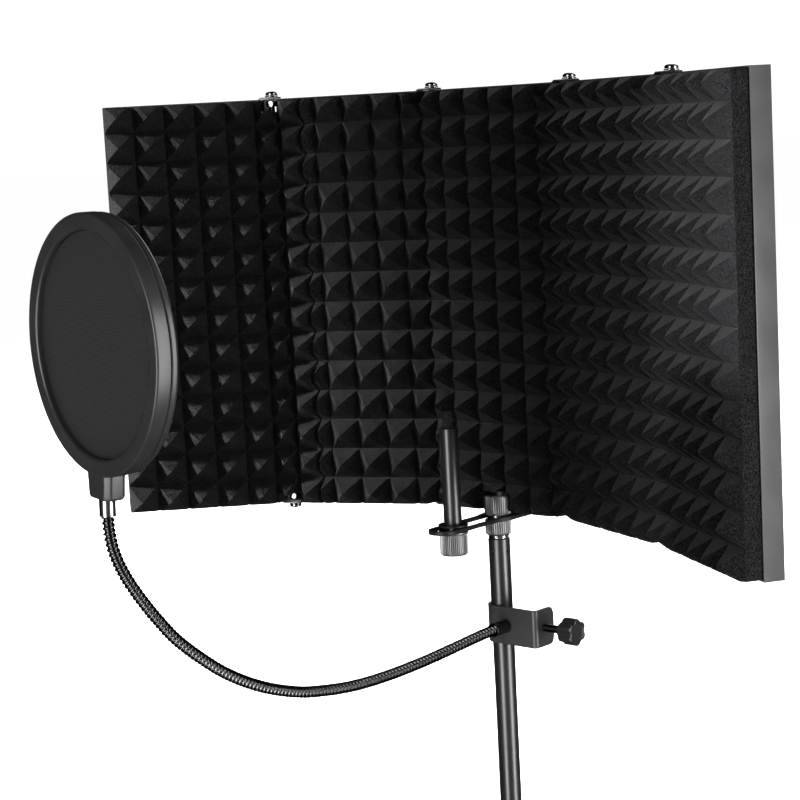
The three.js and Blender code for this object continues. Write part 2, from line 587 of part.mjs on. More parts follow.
// ---------------------------------------------------------------- shield
// Each panel hangs on its neighbour's hinge, so the groups nest outwards from the middle one.
function buildShield(parent) {
  const shield = groupAt(parent, 0, STAND_TO_HINGES, SHIELD_LEVEL);
  const middle = groupAt(shield, -PANEL_PITCH / 2, 0, 0);
  const rightInner = groupAt(middle, PANEL_PITCH, 0, 0);
  rightInner.rotation.z = -HINGE_ANGLES.right_inner * DEG;
  const rightOuter = groupAt(rightInner, PANEL_PITCH, 0, 0);
  rightOuter.rotation.z = -HINGE_ANGLES.right_outer * DEG;
  const leftInnerPivot = groupAt(middle, 0, 0, 0);
  leftInnerPivot.rotation.z = HINGE_ANGLES.left_inner * DEG;
  const leftInner = groupAt(leftInnerPivot, -PANEL_PITCH, 0, 0);
  const leftOuterPivot = groupAt(leftInner, 0, 0, 0);
  leftOuterPivot.rotation.z = HINGE_ANGLES.left_outer * DEG;
  const leftOuter = groupAt(leftOuterPivot, -PANEL_PITCH, 0, 0);

  const panels = [leftOuter, leftInner, middle, rightInner, rightOuter];
  const across = (g, y, z) => alongY(g).translate(PANEL_PITCH / 2, y, z);
  panels.forEach((at, i) => {
    const leftFree = i === 0;
    const rightFree = i === panels.length - 1;
    let tray = panelTray(leftFree, rightFree);
    let pad = foamPad(leftFree, rightFree);
    if (at === middle) {
      const levels = BRACKET_SCREW_LEVELS;
      tray = cut(tray, ...levels.map((z) => across(rod(SCREW_HOLE, 0, 12, 12), 0, z)));
      const nutNotch = rod(STAND_NUT_RADIUS + STAND_NUT_ROOM, -1, STAND_NUT_HEIGHTS.upper + 2, 16);
      nutNotch.translate(PANEL_PITCH / 2, -STAND_TO_HINGES, 0);
      pad = cut(pad, nutNotch, ...levels.map((z) => across(rod(NUT_ACCESS_RADIUS, 0, 12, 12), -3, z)));
    }
    piece(at, `panel_${i + 1}`, tray, 'panel');
    piece(at, `foam_${i + 1}`, pad, 'foam');
  });

  hingeFasteners(leftInner, 'left_outer');
  hingeFasteners(middle, 'left_inner');
  hingeFasteners(groupAt(middle, PANEL_PITCH, 0, 0), 'right_inner');
  hingeFasteners(groupAt(rightInner, PANEL_PITCH, 0, 0), 'right_outer');

  piece(parent, 'bracket', bracket(), 'bracket');
  BRACKET_SCREW_LEVELS.forEach((z, i) => {
    const head = EAR_RADIUS + BAR + 2 * GAP;
    const inside = EAR_RADIUS - SHEET - GAP - NUT_HEIGHT;
    piece(middle, `bracket_screw_${i + 1}`, across(panScrew(BRACKET_SCREW_LENGTH), head, z), 'zinc');
    piece(middle, `bracket_nut_${i + 1}`, across(hexNut(), inside, z), 'zinc');
  });
}

// ---------------------------------------------------------------- assembly
const assembly = new THREE.Group();
buildStand(assembly);
buildPost(assembly);
buildClamp(assembly);
buildGooseneck(assembly);
buildPopFilter(assembly);
buildShield(assembly);

export default assembly;
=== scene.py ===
"""Looks of a folding microphone isolation shield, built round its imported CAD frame.

Metres, in the frame's axes: +Z up along the stand tube, +Y towards the back of the shield.
"""
import json
import math

import bmesh
import bpy
import numpy as np
from mathutils import Matrix, Vector, noise

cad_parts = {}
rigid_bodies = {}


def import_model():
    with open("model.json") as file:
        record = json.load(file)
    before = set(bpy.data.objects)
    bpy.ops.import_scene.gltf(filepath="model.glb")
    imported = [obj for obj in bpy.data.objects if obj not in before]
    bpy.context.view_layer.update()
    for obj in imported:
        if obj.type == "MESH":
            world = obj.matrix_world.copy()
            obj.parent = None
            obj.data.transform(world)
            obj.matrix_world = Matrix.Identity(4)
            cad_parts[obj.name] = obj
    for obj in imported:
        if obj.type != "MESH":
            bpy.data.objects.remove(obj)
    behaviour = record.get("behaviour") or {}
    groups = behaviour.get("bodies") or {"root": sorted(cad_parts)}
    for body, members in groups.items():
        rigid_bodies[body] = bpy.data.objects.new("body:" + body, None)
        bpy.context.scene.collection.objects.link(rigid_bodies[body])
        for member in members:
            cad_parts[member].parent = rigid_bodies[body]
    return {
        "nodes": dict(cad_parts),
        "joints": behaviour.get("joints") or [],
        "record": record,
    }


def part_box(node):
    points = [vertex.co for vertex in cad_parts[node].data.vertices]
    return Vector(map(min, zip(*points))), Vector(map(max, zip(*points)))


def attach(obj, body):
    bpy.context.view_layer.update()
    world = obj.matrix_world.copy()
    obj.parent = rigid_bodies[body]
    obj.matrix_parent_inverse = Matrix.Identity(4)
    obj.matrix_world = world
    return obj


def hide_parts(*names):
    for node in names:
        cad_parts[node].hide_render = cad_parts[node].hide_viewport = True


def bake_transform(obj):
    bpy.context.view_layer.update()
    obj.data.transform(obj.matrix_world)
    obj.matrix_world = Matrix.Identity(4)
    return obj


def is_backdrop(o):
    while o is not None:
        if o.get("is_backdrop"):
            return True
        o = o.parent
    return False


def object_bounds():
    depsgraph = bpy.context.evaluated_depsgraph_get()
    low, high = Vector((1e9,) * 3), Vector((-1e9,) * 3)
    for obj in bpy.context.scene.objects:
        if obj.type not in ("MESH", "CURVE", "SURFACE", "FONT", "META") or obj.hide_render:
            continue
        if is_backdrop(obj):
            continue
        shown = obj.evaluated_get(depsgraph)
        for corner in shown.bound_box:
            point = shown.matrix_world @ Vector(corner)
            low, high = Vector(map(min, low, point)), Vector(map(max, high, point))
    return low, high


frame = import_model()
CAD_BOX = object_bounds()

MM = 0.001
shift = Matrix.Translation
RECORD = frame["record"]
BODY_OF = {n: body for body, nodes in RECORD["behaviour"]["bodies"].items() for n in nodes}
SLOT_OF = {row["node"]: row["material_slot"] for row in RECORD["subparts"]}
JOINTS = {j["name"]: j for j in frame["joints"]}

# ---------- driving dimensions
PANEL_PITCH = 128 * MM
PANEL_HEIGHT = 310 * MM
PANEL_LEVEL = 230 * MM              # underside of the panels
SHEET = 1.2 * MM
FLANGE = 7 * MM                     # half the flange's depth, and an ear's radius
PANEL_GAP = 1 * MM                  # back skin to hinge axis
JOGGLE = 1.5 * MM                   # one ear is lifted this far over the next panel's
JOGGLE_START = 11 * MM
JOGGLE_RUN = 2.5 * MM
HOLE_RADIUS = 2.5 * MM
HOLE_PITCH = 10 * MM

FOAM_BACK = 5.5 * MM                # behind the hinge line
FOAM_BASE = 23 * MM
PYRAMID = 16 * MM
FOAM_PITCH = 22.38 * MM             # pyramids, both ways
FOAM_SEAM = 161 * MM                # along the lining, where its two sheets meet
COLUMNS_BEFORE_SEAM = 7
FOAM_EDGE = 1.5 * MM                # foam to the outside of the tray
FOAM_END = 1.6 * MM                 # lining to each end of the shield
SEAM_GAP = 1.2 * MM
COLUMNS_TO_END = (14, 8)            # from where two stretches of lining meet, to the right end
NOTCH_SECTIONS = ((4.6, 6, 12), (-9, 7, 11), (-42, 19, 8))     # mm: y, half width and depth
LOWEST_TIPS = 10.4 * MM
FOAM_STEPS = 8                      # mesh steps on a pyramid
HINGE_ZONE = 24 * MM                # the lining bends over this much on each side of a hinge
HINGES = ("left_outer", "left_inner", "right_inner", "right_outer")

THREAD_PITCH = {"stand_stud": 0.94 * MM, "clamp_screw": 1.0 * MM, "mic_post": 1.59 * MM}
GOOSE_RADIUS = 4 * MM
GOOSE_PITCH = 3.3 * MM
GOOSE_GROOVE = 1.3 * MM
GOOSE_ZONE = 26 * MM                # a reach along the route on each side of a joint
ROUND_WIRE = 0.3                    # half the width of each wound wire, as a share of a turn
LOW_WIRE = 0.14
LOW_WIRE_HEIGHT = 0.5
GOOSE_ROUTE = [
    (11.6, -19, 149.5), (11.6, -26, 149.5), (11.6, -44, 148.4), (11.7, -72, 146.2),
    (11.8, -104, 144), (11.9, -142, 142.9), (12, -178, 144.3), (12, -211, 149),
    (12, -226, 152.3), (12, -257, 163), (12.1, -287, 178.4), (12.1, -308, 193.2),
    (12.1, -329, 211), (12.1, -342, 225.6), (12.1, -354.5, 241.5), (12.1, -366, 259.2),
    (12.1, -372.3, 273.4), (12.1, -374.8, 286), (12.2, -375.2, 296), (12.5, -375.2, 302.3),
]
CLAMP_CORNER = 5 * MM
DIMPLE_DROP = 9.5 * MM              # from the top of the stand tube
DIMPLE_DEPTH = 1.4 * MM
DIMPLE_RADIUS = 1.25 * MM
SCREW_RADIUS = 2.4 * MM
SCREW_PITCH = 0.8 * MM
HEAD_RADIUS = 4.6 * MM
HEAD_HEIGHT = 3 * MM

CAMERA_PLACE = (0.9534, -1.1481, 0.5169)
CAMERA_AZIMUTH = 42.29
CAMERA_TILT = -7.61
CAMERA_ROLL = -2.99
CAMERA_LENS = 93.1


def spin(angle, axis):
    return Matrix.Rotation(angle, 4, axis)


# ---------- camera, stage and lights
def look(azimuth, tilt, roll):
    """Camera rotation from its bearing, tilt above the horizon and roll, in degrees."""
    turn = spin(math.radians(azimuth), "Z")
    raise_up = spin(math.radians(90 + tilt), "X")
    return turn @ raise_up @ spin(math.radians(roll), "Z")


def make_camera():
    data = bpy.data.cameras.new("camera")
    data.lens = CAMERA_LENS
    data.sensor_width = 36
    data.clip_end = 50
    camera = bpy.data.objects.new("camera", data)
    rotation = look(CAMERA_AZIMUTH, CAMERA_TILT, CAMERA_ROLL)
    camera.matrix_world = shift(CAMERA_PLACE) @ rotation
    bpy.context.scene.collection.objects.link(camera)
    bpy.context.scene.camera = camera


def make_stage():
    """A wide round floor, as bright as the air above it, so that no view meets its edge."""
    angles = np.linspace(0, 2 * math.pi, 96, endpoint=False)
    rings = [[(r * math.cos(a), r * math.sin(a), -MM) for a in angles] for r in (2, 8, 30)]
    points, faces = skin(rings, capped=False)
    faces.append(tuple(range(96)))
    stage = make_object("studio_floor", points, faces)
    stage.data.materials.append(stage_material())
    stage.visible_glossy = False
    stage.visible_shadow = False
    stage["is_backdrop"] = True


def stage_material():
    material, _, shader = new_material("studio")
    shader.inputs["Base Color"].default_value = (0.9, 0.9, 0.9, 1)
    shader.inputs["Roughness"].default_value = 0.9
    shader.inputs["Specular IOR Level"].default_value = 0
    return material


def area_light(name, place, target, size, power, only=None, spread=180):
    """A soft box. only is a collection of the pieces that it lights, or None for everything.
    spread narrows its beam, in degrees."""
    data = bpy.data.lights.new(name, "AREA")
    data.spread = math.radians(spread)
    data.shape = "RECTANGLE"
    data.size, data.size_y = size
    data.energy = power
    light = bpy.data.objects.new(name, data)
    light.location = place
    light.rotation_euler = (Vector(target) - Vector(place)).to_track_quat("-Z", "Y").to_euler()
    light.visible_camera = False
    if only:
        light.light_linking.receiver_collection = only
    bpy.context.scene.collection.objects.link(light)


def light_groups():
    """The pieces by what lights them. The pop filter's meshes have no light of their own."""
    groups = {name: bpy.data.collections.new(name) for name in ("lining", "trays", "mesh", "hardware")}
    starts = {"studio": "lining", "foam": "lining", "panel": "trays", "pop_mesh": "mesh"}
    for piece in bpy.context.scene.objects:
        if piece.type == "MESH":
            group = [g for start, g in starts.items() if piece.name.startswith(start)]
            groups[(group + ["hardware"])[0]].objects.link(piece)
    return groups["lining"], groups["trays"], groups["hardware"]


def make_lights():
    """A soft key, two narrow beams and a near light for the foam, one light for the trays, and
    strips that draw the highlights on the hardware. Only the back light and sky reach everything."""
    lining, trays, hardware = light_groups()
    area_light("key", (-2.3, -0.65, 1.2), (0.1, -0.05, 0.38), (1.8, 1.8), 320, lining)
    area_light("left_wing", (-1.9, -2.0, 1.1), (-0.45, -0.2, 0.38), (0.25, 0.4), 8.5, lining, 8)
    area_light("right_wing", (-1.2, -2.0, 1.1), (0.33, -0.23, 0.38), (0.3, 0.5), 9, lining, 10)
    area_light("near_right", (0.9, -0.22, 0.4), (0.28, -0.15, 0.38), (0.3, 0.8), 22, lining)
    area_light("front", (1.5, -1.7, 0.08), (0.25, -0.2, 0.3), (1, 0.8), 165, trays)
    area_light("strip_left", (0.3, -2.1, 0.1), (0, 0, 0.1), (0.75, 2.2), 75, hardware)
    area_light("strip_right", (1.95, 0.2, 0.1), (0, 0, 0.1), (0.75, 2.2), 80, hardware)
    area_light("back", (-0.6, 2.2, 1.3), (0, 0, 0.4), (1.6, 1.2), 20)
    make_sky()


def make_sky():
    """White air above the horizon and dark below it, unseen in reflections."""
    world = bpy.data.worlds.new("studio")
    bpy.context.scene.world = world
    world.use_nodes = True
    nodes, links = world.node_tree.nodes, world.node_tree.links
    direction = nodes.new("ShaderNodeTexCoord")
    parts = nodes.new("ShaderNodeSeparateXYZ")
    links.new(direction.outputs["Generated"], parts.inputs["Vector"])
    strength = nodes.new("ShaderNodeMapRange")
    for name, value in (("From Min", -0.07), ("From Max", -0.025), ("To Min", 0.12), ("To Max", 1.1)):
        strength.inputs[name].default_value = value
    links.new(parts.outputs["Z"], strength.inputs["Value"])
    background = nodes["Background"]
    background.inputs["Color"].default_value = (1, 1, 1, 1)
    links.new(strength.outputs["Result"], background.inputs["Strength"])
    world.cycles_visibility.glossy = False
    bpy.context.scene.view_settings.view_transform = "Standard"


# ---------- mesh helpers
def make_object(name, points, faces, crease=38):
    """A closed piece with smooth faces, and sharp edges wherever it turns by more than crease."""
    mesh = bpy.data.meshes.new(name)
    mesh.from_pydata([tuple(p) for p in points], [], [tuple(f) for f in faces])
    shell = bmesh.new()
    shell.from_mesh(mesh)
    bmesh.ops.recalc_face_normals(shell, faces=shell.faces)
    shell.to_mesh(mesh)
    shell.free()
    return show_mesh(name, mesh, crease)


def show_mesh(name, mesh, crease=38):
    mesh.polygons.foreach_set("use_smooth", [True] * len(mesh.polygons))
    mesh.set_sharp_from_angle(angle=math.radians(crease))
    piece = bpy.data.objects.new(name, mesh)
    bpy.context.scene.collection.objects.link(piece)
    return piece


def skin(rings, capped=True, looped=False):
    """Points and faces of a surface through closed rings that have equally many points."""
    rings = np.asarray(rings, float)
    count, around = rings.shape[:2]
    faces = []
    for i in range(count if looped else count - 1):
        a = i * around
        b = (i + 1) % count * around
        for k in range(around):
            n = (k + 1) % around
            faces.append((a + k, a + n, b + n, b + k))
    if capped and not looped:
        faces.append(tuple(range(around)))
        faces.append(tuple(range((count - 1) * around, count * around)))
    return rings.reshape(-1, 3), faces


def joined(*solids):
    """One list of points and one of faces from several."""
    points, faces = [], []
    for some_points, some_faces in solids:
        start = len(points)
        points.extend(tuple(p) for p in some_points)
        faces.extend(tuple(i + start for i in face) for face in some_faces)
    return points, faces


def rounded(corners, radii, steps=4, closed=True):
    """A line through corners, with each corner eased over its radius."""
    corners = [Vector(c) for c in corners]
    if not hasattr(radii, "__len__"):
        radii = [radii] * len(corners)
    line = []
    for i, corner in enumerate(corners):
        if not closed and i in (0, len(corners) - 1):
            line.append(corner)
            continue
        before = corners[i - 1] - corner
        after = corners[(i + 1) % len(corners)] - corner
        reach = min(radii[i], before.length * 0.49, after.length * 0.49)
        start = corner + before.normalized() * reach
        end = corner + after.normalized() * reach
        for k in range(steps + 1):
            t = k / steps
            line.append(start * (1 - t) ** 2 + corner * (2 * t * (1 - t)) + end * t * t)
    return line


def turned(profile, around=64, looped=False, carve=None):
    """A turned solid about Z from (radius, z) pairs.
    carve changes the points, given as radius, angle and z."""
    line = np.array([tuple(p) for p in profile], float)
    angles = np.linspace(0, 2 * math.pi, around, endpoint=False)
    radius = np.repeat(line[:, :1], around, axis=1)
    height = np.repeat(line[:, 1:], around, axis=1)
    angle = np.repeat(angles[None, :], len(line), axis=0)
    if carve:
        radius, height = carve(radius, angle, height)
    rings = np.stack([radius * np.cos(angle), radius * np.sin(angle), height], axis=-1)
    return skin(rings, looped=looped)


def dense(profile, step):
    """The same line with points no further apart than step."""
    line = [Vector(profile[0])]
    for a, b in zip(profile, profile[1:]):
        a, b = Vector(a), Vector(b)
        count = max(1, math.ceil((b - a).length / step))
        line.extend(a.lerp(b, k / count) for k in range(1, count + 1))
    return line


def flat_section(left, right, low, high, ease, steps=4):
    """A rectangle with eased corners, such as the section of a washer."""
    return rounded([(left, low), (right, low), (right, high), (left, high)], ease, steps)


def moved(solid, matrix):
    points, faces = solid
    return [matrix @ Vector(p) for p in points], faces


def rounded_box(low, high, radius, steps=3):
    """A box whose upright edges and rims are eased."""
    (x0, y0, z0), (x1, y1, z1) = low, high
    rings = []
    for inset, z in ((radius, z0), (radius * 0.3, z0 + radius * 0.3), (0, z0 + radius),
                     (0, z1 - radius), (radius * 0.3, z1 - radius * 0.3), (radius, z1)):
        corners = [(x0 + inset, y0 + inset), (x1 - inset, y0 + inset),
                   (x1 - inset, y1 - inset), (x0 + inset, y1 - inset)]
        rings.append([(p.x, p.y, z) for p in rounded(corners, radius, steps)])
    return skin(rings)


def final_mesh(piece):
    """A new mesh of the piece as it looks with its modifiers."""
    bpy.context.view_layer.update()
    view = bpy.context.evaluated_depsgraph_get()
    return bpy.data.meshes.new_from_object(piece.evaluated_get(view))


def cut_away(name, solid, tools):
    """The solid with the tools' volumes taken out, as a mesh."""
    base = make_object(name + "_base", *solid)
    tool = make_object(name + "_tool", *joined(*tools))
    cutter = base.modifiers.new("cut", "BOOLEAN")
    cutter.operation = "DIFFERENCE"
    cutter.solver = "EXACT"
    cutter.object = tool
    mesh = final_mesh(base)
    for scrap in (base, tool):
        bpy.data.objects.remove(scrap)
    return mesh


# ---------- pieces and the frame
def centre(node):
    low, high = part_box(node)
    return (low + high) / 2


def stand_in(piece, node, slot=None, shade=None):
    """The piece stands for a CAD node: it rides with it, and takes its finish unless given another."""
    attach(piece, BODY_OF[node])
    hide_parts(node)
    finish_as(piece, slot or SLOT_OF[node], shade)


def add(node, kind, solid, slot=None, shade=None, crease=38):
    """Makes a node's visible piece from its points and faces."""
    stand_in(make_object(f"{node}_{kind}", *solid, crease=crease), node, slot, shade)


def finish_as(piece, slot, shade=None):
    """Gives the piece its slot's material, or another shade of it."""
    piece.data.materials.clear()
    piece.data.materials.append(MATERIALS[shade or slot])


def standing(node):
    """Turns a solid about Z at the origin into one at the node's axis."""
    place = centre(node)
    return shift((place.x, place.y, 0))


def lying_along_x(node):
    place = centre(node)
    return shift((0, place.y, place.z)) @ spin(math.pi / 2, "Y")


# ---------- materials
def new_material(name):
    material = bpy.data.materials.new(name)
    material.use_nodes = True
    tree = material.node_tree
    return material, tree, tree.nodes["Principled BSDF"]


def texture(tree, kind, scale, detail=2.0):
    """A 3-D texture in the piece's own coordinates."""
    place = tree.nodes.new("ShaderNodeTexCoord")
    node = tree.nodes.new("ShaderNodeTex" + kind)
    node.inputs["Scale"].default_value = scale
    if "Detail" in node.inputs:
        node.inputs["Detail"].default_value = detail
    tree.links.new(place.outputs["Object"], node.inputs["Vector"])
    return node


def ramp(tree, value, low, high, low_at=0.3, high_at=0.7):
    node = tree.nodes.new("ShaderNodeValToRGB")
    node.color_ramp.elements[0].position = low_at
    node.color_ramp.elements[1].position = high_at
    node.color_ramp.elements[0].color = (*low, 1)
    node.color_ramp.elements[1].color = (*high, 1)
    tree.links.new(value, node.inputs["Fac"])
    return node.outputs["Color"]


def spread(tree, value, low, high):
    node = tree.nodes.new("ShaderNodeMapRange")
    node.inputs["To Min"].default_value = low
    node.inputs["To Max"].default_value = high
    tree.links.new(value, node.inputs["Value"])
    return node.outputs["Result"]


def bump(tree, shader, height, distance, strength=1.0):
    node = tree.nodes.new("ShaderNodeBump")
    node.inputs["Distance"].default_value = distance
    node.inputs["Strength"].default_value = strength
    tree.links.new(height, node.inputs["Height"])
    last = shader.inputs["Normal"]
    if last.is_linked:
        tree.links.new(last.links[0].from_socket, node.inputs["Normal"])
    tree.links.new(node.outputs["Normal"], last)


def grey(value):
    return (value, value, value * 1.03)


def coated_metal(name, shade, roughness, grain, depth, metal, gloss_level):
    """Paint or plating: fine orange peel, with a little variation in shade and gloss."""
    material, tree, shader = new_material(name)
    cloudy = texture(tree, "Noise", 40, 3)
    colour = ramp(tree, cloudy.outputs["Fac"], grey(shade * 0.86), grey(shade * 1.14))
    tree.links.new(colour, shader.inputs["Base Color"])
    gloss = spread(tree, cloudy.outputs["Fac"], roughness * 0.85, roughness * 1.15)
    tree.links.new(gloss, shader.inputs["Roughness"])
    shader.inputs["Metallic"].default_value = metal
    shader.inputs["Specular IOR Level"].default_value = gloss_level
    peel = texture(tree, "Noise", grain, 2)
    bump(tree, shader, peel.outputs["Fac"], depth * MM)
    return material


def foam_material():
    """Open-cell foam: dark pores between cell walls that catch the light, in cloudy patches."""
    material, tree, shader = new_material("foam_charcoal")
    cells = texture(tree, "Voronoi", 820)
    grain = texture(tree, "Noise", 1000, 3)
    clouds = texture(tree, "Noise", 60, 3)
    pores = ramp(tree, cells.outputs["Distance"], grey(0.008), grey(0.0022), 0.1, 0.8)
    specks = ramp(tree, grain.outputs["Fac"], grey(0.1), grey(2.4), 0.36, 0.66)
    patches = ramp(tree, clouds.outputs["Fac"], grey(0.8), grey(1.15))
    colour = multiply(tree, multiply(tree, pores, specks), patches)
    tree.links.new(colour, shader.inputs["Base Color"])
    shader.inputs["Roughness"].default_value = 0.95
    shader.inputs["Specular IOR Level"].default_value = 0.05
    bump(tree, shader, clouds.outputs["Fac"], 0.6 * MM, 0.6)
    bump(tree, shader, cells.outputs["Distance"], 0.5 * MM, 0.9)
    return material


def multiply(tree, a, b):
    mix = tree.nodes.new("ShaderNodeMix")
    mix.data_type = "RGBA"
    mix.blend_type = "MULTIPLY"
    mix.inputs["Factor"].default_value = 1
    tree.links.new(a, mix.inputs["A"])
    tree.links.new(b, mix.inputs["B"])
    return mix.outputs["Result"]


def woven_material():
    """Fine nylon mesh: two crossing sets of threads."""
    material, tree, shader = new_material("pop_mesh")
    heights = []
    for direction in ("X", "Z"):
        thread = texture(tree, "Wave", 300)
        thread.bands_direction = direction
        thread.inputs["Distortion"].default_value = 0.4
        heights.append(thread.outputs["Fac"])
    both = tree.nodes.new("ShaderNodeMath")
    both.operation = "MULTIPLY"
    tree.links.new(heights[0], both.inputs[0])
    tree.links.new(heights[1], both.inputs[1])
    colour = ramp(tree, both.outputs["Value"], grey(0.007), grey(0.042), 0.05, 0.7)
    tree.links.new(colour, shader.inputs["Base Color"])
    shader.inputs["Roughness"].default_value = 0.8
    shader.inputs["Specular IOR Level"].default_value = 0.1
    bump(tree, shader, both.outputs["Value"], 0.15 * MM)
    return material


def make_materials():
    """Coats are shade, roughness, grain, its depth in mm, whether it is metal, and gloss."""
    coats = {
        "panel_black": (0.022, 0.45, 1400, 0.05, 0, 0.4),
        "bracket_black": (0.012, 0.38, 1500, 0.04, 0, 0.4),
        "bar_black": (0.004, 0.45, 1500, 0.04, 0, 0.2),
        "tube_black": (0.004, 0.33, 900, 0.01, 0, 0.6),
        "knurled_nut": (0.14, 0.42, 2500, 0.01, 1, 0.25),
        "ferrule_dark": (0.03, 0.3, 2500, 0.01, 1, 0.25),
        "ferrule_grey": (0.3, 0.25, 2500, 0.01, 1, 0.25),
        "gooseneck_chrome": (0.07, 0.22, 2500, 0.01, 1, 0.25),
        "zinc": (0.55, 0.22, 2500, 0.01, 1, 0.25),
        # A darker copy of zinc for the fasteners: painted shade, in place of the dark surroundings that their
        # plating would reflect.
        "zinc_shaded": (0.16, 0.2, 2500, 0.01, 1, 0.25),
        "knob_black": (0.006, 0.33, 2200, 0.03, 0, 0.45),
        "hoop_black": (0.009, 0.36, 2200, 0.03, 0, 0.35),
    }
    materials = {name: coated_metal(name, *coat) for name, coat in coats.items()}
    materials["foam_charcoal"] = foam_material()
    materials["pop_mesh"] = woven_material()
    return materials


# ---------- turned hardware
def flutes(count, depth, outer):
    """Straight knurling on the parts of a turned piece that reach its outer radius."""
    def carve(radius, angle, height):
        wave = np.abs(np.sin(count * angle / 2)) ** 1.4
        return radius - depth * wave * (radius > outer - 0.2 * MM), height
    return carve


def knurled_nut(node, bore, count, chamfer_up=False):
    """A nut with straight knurling, chamfered at one end."""
    low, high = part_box(node)
    outer = (high.x - low.x) / 2
    ease, height = 1.1 * MM, high.z - low.z
    side = dense([(outer, ease), (outer, height - 0.3 * MM)], 2 * MM)
    profile = [(bore, 0), (outer - ease, 0), *side, (outer - 0.3 * MM, height), (bore, height)]
    if chamfer_up:
        profile = [(radius, height - z) for radius, z in profile]
    solid = turned(profile, count * 8, looped=True, carve=flutes(count, 0.6 * MM, outer))
    place = standing(node) @ shift((0, 0, low.z))
    add(node, "knurled", moved(solid, place))


def threaded(radius, pitch, start, end, around=40):
    """A screw thread about Z."""
    heights = np.arange(start, end, pitch / 6)
    depth = 0.55 * pitch

    def carve(r, angle, z):
        turn = (z / pitch - angle / (2 * math.pi)) % 1
        return r - depth * np.abs(2 * turn - 1), z
    return turned([(radius, z) for z in heights], around, carve=carve)


def stand_tube():
    low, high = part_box("stand_tube")
    outer, inner = high.x, high.x - 1.5 * MM
    dimple_level = high.z - DIMPLE_DROP
    levels = np.concatenate([np.linspace(low.z + MM, dimple_level - 3 * MM, 12),
                             np.linspace(dimple_level - 2.5 * MM, dimple_level + 2.5 * MM, 17),
                             np.linspace(dimple_level + 3 * MM, high.z - MM, 4)])
    profile = [(inner, low.z), (outer - 0.4 * MM, low.z), (outer, low.z + 0.4 * MM)]
    profile += [(outer, z) for z in levels]
    profile += [(outer, high.z - 0.5 * MM), (outer - 0.5 * MM, high.z), (inner, high.z)]

    def carve(radius, angle, z):
        across = outer * ((angle + math.pi / 4) % (math.pi / 2) - math.pi / 4)
        distance = np.hypot(across, z - dimple_level)
        dent = DIMPLE_DEPTH * np.exp(-(distance / DIMPLE_RADIUS) ** 6)
        return radius - dent * (radius > outer - 0.1 * MM), z
    solid = turned(profile, 192, looped=True, carve=carve)
    add("stand_tube", "drawn", solid)


def stand_stud():
    low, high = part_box("stand_stud")
    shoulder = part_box("stand_tube")[1].z + 0.3 * MM
    radius = high.x
    spigot = turned([(6.2 * MM, low.z), (6.2 * MM, shoulder)], 48)
    thread = threaded(radius, THREAD_PITCH["stand_stud"], shoulder, high.z)
    add("stand_stud", "threaded", joined(spigot, thread))


def mic_post():
    low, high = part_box("mic_post")
    bar_top = PANEL_LEVEL
    shoulder = bar_top + 71 * MM
    radius, stud, collar = 6.5 * MM, 4.75 * MM, 10.75 * MM
    tail = turned([(stud, low.z), (stud, bar_top)], 40)
    rim = flat_section(6.6 * MM, collar, bar_top, bar_top + 1.6 * MM, 0.4 * MM)
    body = rounded([(3 * MM, bar_top), (radius, bar_top), (radius, shoulder),
                    (3 * MM, shoulder)], 0.5 * MM, closed=False)
    thread = threaded(stud, THREAD_PITCH["mic_post"], shoulder - 0.2 * MM, high.z)
    solid = joined(tail, turned(body, 72), thread)
    add("mic_post", "turned", moved(solid, standing("mic_post")))
    ring = moved(turned(rim, 64, looped=True), standing("mic_post"))
    add("mic_post", "collar", ring, "bracket_black", "bar_black")


def flat_ring(node, bore, ease, around):
    """A washer in its node's place."""
    low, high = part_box(node)
    profile = flat_section(bore, (high.x - low.x) / 2, low.z, high.z, ease)
    return moved(turned(profile, around, looped=True), standing(node))


def mic_post_washer():
    add("mic_post_washer", "pressed", flat_ring("mic_post_washer", 5.05 * MM, 0.3 * MM, 64))


# ---------- screws, washers and nuts
def pan_head(radius, height):
    """A domed head on z = 0, with a cross recess."""
    profile = [(radius * 0.6, 0), (radius * 0.98, 0), (radius, 0.3 * MM), (radius, height * 0.42)]
    for k in range(1, 15):
        slope = k / 15 * math.pi / 2
        profile.append((radius * math.cos(slope), height * (0.42 + 0.58 * math.sin(slope))))

    def carve(r, angle, z):
        across = np.minimum(np.abs(r * np.cos(angle)), np.abs(r * np.sin(angle)))
        inside = (across < 0.5 * MM) & (r < 2.4 * MM) & (z > height * 0.5)
        return r, z - 1.3 * MM * inside
    return turned(profile, 64, carve=carve)


def along_node(node, along):
    """The node's length along a direction, and what lays a solid from z = 0 along it."""
    low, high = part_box(node)
    axis = max(range(3), key=lambda i: abs(along[i]))
    place = (low + high) / 2
    place[axis] = (low if along[axis] > 0 else high)[axis]
    turn = Vector(along).to_track_quat("Z", "Y").to_matrix().to_4x4()
    return high[axis] - low[axis], shift(place) @ turn


# Fasteners take the darker copy of zinc, a painted shade, while their slot stays zinc.
def add_fastener(node, solid):
    add(node, "fine", solid, "zinc", "zinc_shaded")


def screw(node, along):
    """A pan-head screw with a threaded shank. along points from its tip to its head."""
    length, lay = along_node(node, along)
    shank = threaded(SCREW_RADIUS, SCREW_PITCH, 0, length - HEAD_HEIGHT, 28)
    head = moved(pan_head(HEAD_RADIUS, HEAD_HEIGHT), shift((0, 0, length - HEAD_HEIGHT)))
    add_fastener(node, moved(joined(shank, head), lay))


